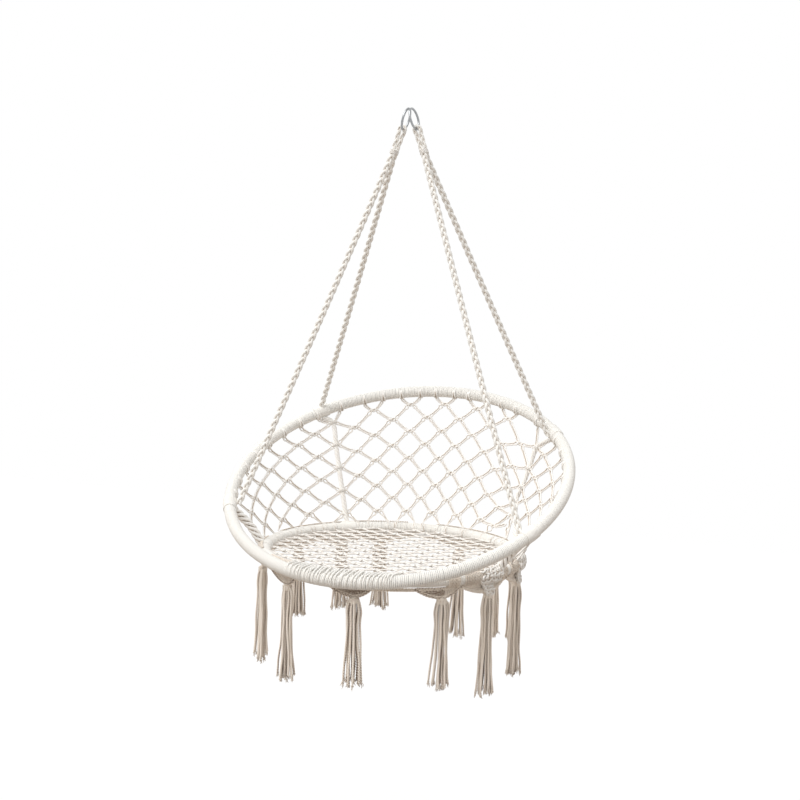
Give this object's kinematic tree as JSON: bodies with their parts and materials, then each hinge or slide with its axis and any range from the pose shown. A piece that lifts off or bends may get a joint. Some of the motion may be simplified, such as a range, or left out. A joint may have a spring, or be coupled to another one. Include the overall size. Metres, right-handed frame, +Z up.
{
  "type": "hanging chair",
  "caption": "Knotted net chair: a level seat hoop lashed to a larger tilted hoop, hung by braided ropes from steel rings, with a tasselled skirt.",
  "frame": {"origin": "the point where a hook carries both steel rings, at the top of the part", "axes": "+Z up, -Y the open front of the seat, +X the right of a person who faces the front"},
  "size_m": [0.8, 0.7255, 1.2539],
  "materials": {
    "cotton_cord": "matte",
    "taupe_cord": "matte",
    "ring_steel": "satin",
    "tube_steel": "matte"
  },
  "bodies": {
    "rings": {"left_ring": "ring_steel", "right_ring": "ring_steel"},
    "chair": {"large_hoop_tube": "tube_steel", "seat_hoop_tube": "tube_steel", "large_hoop_wrap": "cotton_cord", "seat_hoop_wrap": "cotton_cord", "front_right_hoop_binding": "cotton_cord", "front_right_seat_binding": "cotton_cord", "front_right_rope": "cotton_cord", "front_right_leg": "cotton_cord", "back_right_hoop_binding": "cotton_cord", "back_right_seat_binding": "cotton_cord", "back_right_rope": "cotton_cord", "back_right_leg": "cotton_cord", "back_left_hoop_binding": "cotton_cord", "back_left_seat_binding": "cotton_cord", "back_left_rope": "cotton_cord", "back_left_leg": "cotton_cord", "front_left_hoop_binding": "cotton_cord", "front_left_seat_binding": "cotton_cord", "front_left_rope": "cotton_cord", "front_left_leg": "cotton_cord", "front_lashing": "cotton_cord", "left_rope_eye": "cotton_cord", "right_rope_eye": "cotton_cord", "left_eye_tie": "cotton_cord", "right_eye_tie": "cotton_cord", "net_right_front": "cotton_cord", "net_right_side": "cotton_cord", "net_right_back": "cotton_cord", "net_left_back": "cotton_cord", "net_left_side": "cotton_cord", "net_left_front": "cotton_cord", "seat_net": "cotton_cord", "skirt_front": "taupe_cord", "skirt_right": "taupe_cord", "skirt_back": "taupe_cord", "skirt_left": "taupe_cord"},
    "tassel_01": {"tassel_01": "taupe_cord"},
    "tassel_02": {"tassel_02": "taupe_cord"},
    "tassel_03": {"tassel_03": "taupe_cord"},
    "tassel_04": {"tassel_04": "taupe_cord"},
    "tassel_05": {"tassel_05": "taupe_cord"},
    "tassel_06": {"tassel_06": "taupe_cord"},
    "tassel_07": {"tassel_07": "taupe_cord"},
    "tassel_08": {"tassel_08": "taupe_cord"},
    "tassel_09": {"tassel_09": "taupe_cord"},
    "tassel_10": {"tassel_10": "taupe_cord"},
    "tassel_11": {"tassel_11": "taupe_cord"},
    "tassel_12": {"tassel_12": "taupe_cord"}
  },
  "joints": [
    {"name": "chair_swing", "type": "hinge", "parent": "rings", "child": "chair", "pos_m": [0, 0, -0.02028], "axis": [1, 0, 0], "range_deg": [-25, 25]},
    {"name": "tassel_01_swing", "type": "hinge", "parent": "chair", "child": "tassel_01", "pos_m": [0.01462, -0.32562, -1.0378], "axis": [0.9987, 0.0502, 0], "range_deg": [-25, 25]},
    {"name": "tassel_02_swing", "type": "hinge", "parent": "chair", "child": "tassel_02", "pos_m": [0.18689, -0.25804, -1.0378], "axis": [0.7665, 0.6423, 0], "range_deg": [-25, 25]},
    {"name": "tassel_03_swing", "type": "hinge", "parent": "chair", "child": "tassel_03", "pos_m": [0.26172, -0.1622, -1.0378], "axis": [0.4371, 0.8994, 0], "range_deg": [-25, 25]},
    {"name": "tassel_04_swing", "type": "hinge", "parent": "chair", "child": "tassel_04", "pos_m": [0.29062, -0.02038, -1.0378], "axis": [-0.0502, 0.9987, 0], "range_deg": [-25, 25]},
    {"name": "tassel_05_swing", "type": "hinge", "parent": "chair", "child": "tassel_05", "pos_m": [0.25231, 0.10997, -1.0378], "axis": [-0.4982, 0.8671, 0], "range_deg": [-25, 25]},
    {"name": "tassel_06_swing", "type": "hinge", "parent": "chair", "child": "tassel_06", "pos_m": [0.17979, 0.1938, -1.0378], "axis": [-0.7863, 0.6179, 0], "range_deg": [-25, 25]},
    {"name": "tassel_07_swing", "type": "hinge", "parent": "chair", "child": "tassel_07", "pos_m": [0.0759, 0.24592, -1.0378], "axis": [-0.9654, 0.2608, 0], "range_deg": [-25, 25]},
    {"name": "tassel_08_swing", "type": "hinge", "parent": "chair", "child": "tassel_08", "pos_m": [-0.12224, 0.22907, -1.0378], "axis": [-0.9075, -0.4201, 0], "range_deg": [-25, 25]},
    {"name": "tassel_09_swing", "type": "hinge", "parent": "chair", "child": "tassel_09", "pos_m": [-0.20576, 0.17076, -1.0378], "axis": [-0.7071, -0.7071, 0], "range_deg": [-25, 25]},
    {"name": "tassel_10_swing", "type": "hinge", "parent": "chair", "child": "tassel_10", "pos_m": [-0.27316, 0.06529, -1.0378], "axis": [-0.3446, -0.9387, 0], "range_deg": [-25, 25]},
    {"name": "tassel_11_swing", "type": "hinge", "parent": "chair", "child": "tassel_11", "pos_m": [-0.27316, -0.13529, -1.0378], "axis": [0.3446, -0.9387, 0], "range_deg": [-25, 25]},
    {"name": "tassel_12_swing", "type": "hinge", "parent": "chair", "child": "tassel_12", "pos_m": [-0.15899, -0.27871, -1.0378], "axis": [0.8375, -0.5464, 0], "range_deg": [-25, 25]}
  ]
}
